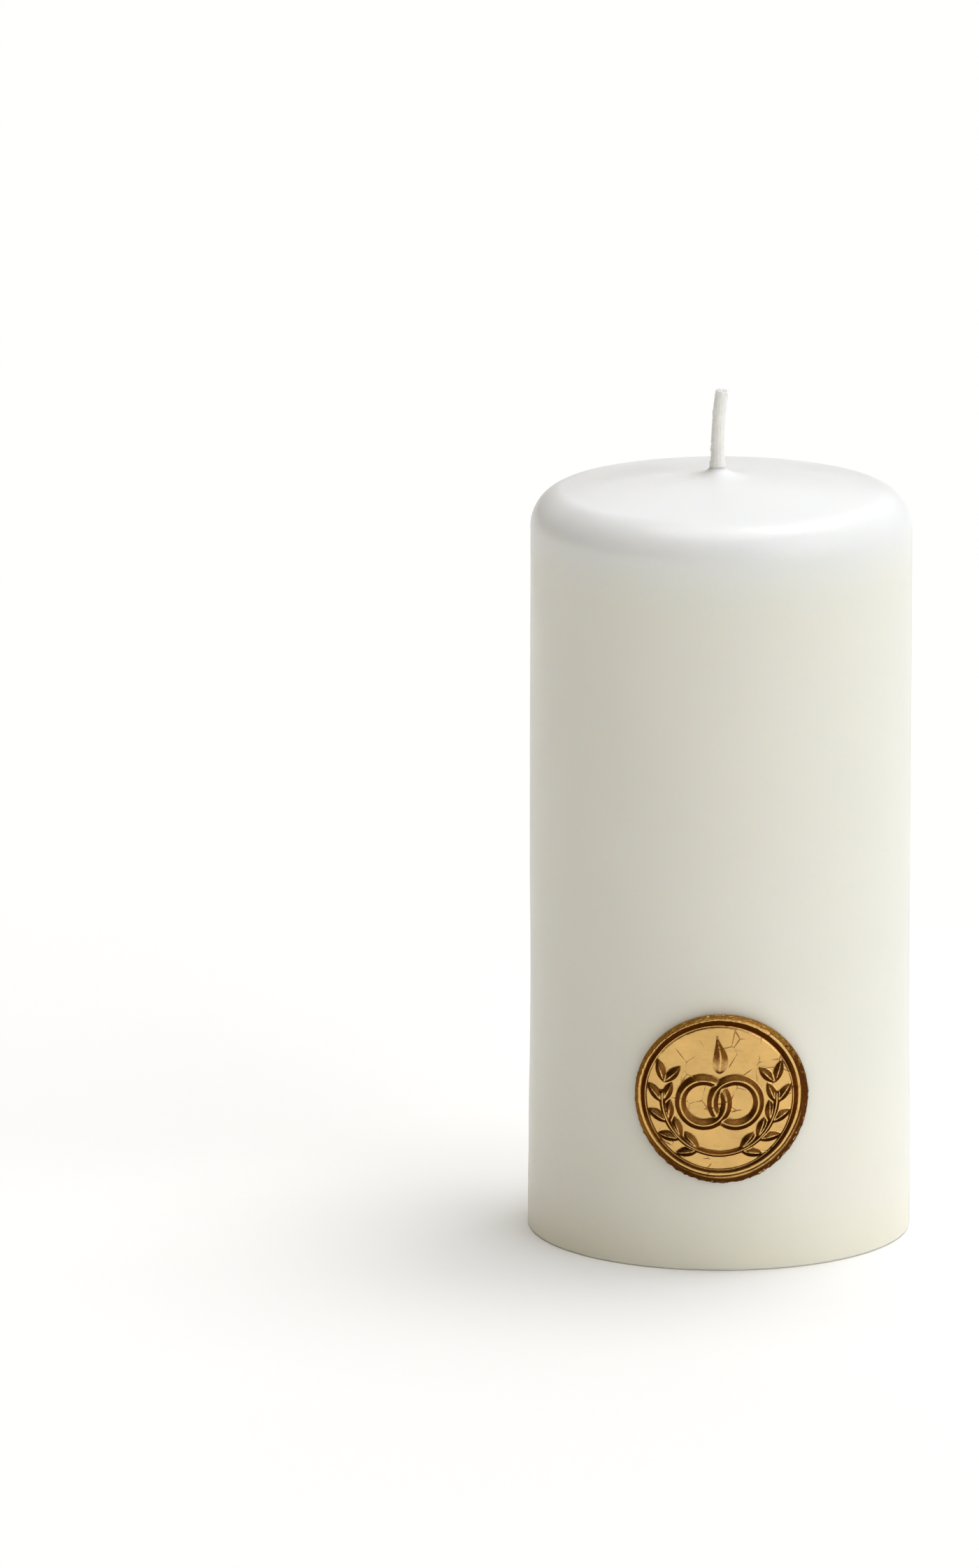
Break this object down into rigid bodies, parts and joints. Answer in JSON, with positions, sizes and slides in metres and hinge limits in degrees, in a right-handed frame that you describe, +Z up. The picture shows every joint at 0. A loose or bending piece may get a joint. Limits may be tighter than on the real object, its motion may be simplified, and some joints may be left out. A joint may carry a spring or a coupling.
{
  "type": "unity candle",
  "caption": "White domed pillar candle with a hard overdipped coat, a short free wick and a round gold sealing-wax medallion stuck low on its side.",
  "frame": {"origin": "middle of the candle's base, in the plane that it stands on", "axes": "+Z up the candle's axis towards the wick, -Y towards the seal, +X to the right of someone who faces the seal"},
  "size_m": [0.076, 0.079, 0.1691],
  "materials": {
    "core_wax": "matte",
    "coat_wax": "satin",
    "waxed_cotton": "matte",
    "tinned_steel": "satin",
    "sticky_wax": "satin",
    "gold_sealing_wax": "gloss"
  },
  "bodies": {
    "root": {"wax_core": "core_wax", "overdip_coat": "coat_wax", "wick": "waxed_cotton", "wick_sustainer": "tinned_steel", "sticky_wax": "sticky_wax", "seal": "gold_sealing_wax"}
  },
  "joints": []
}
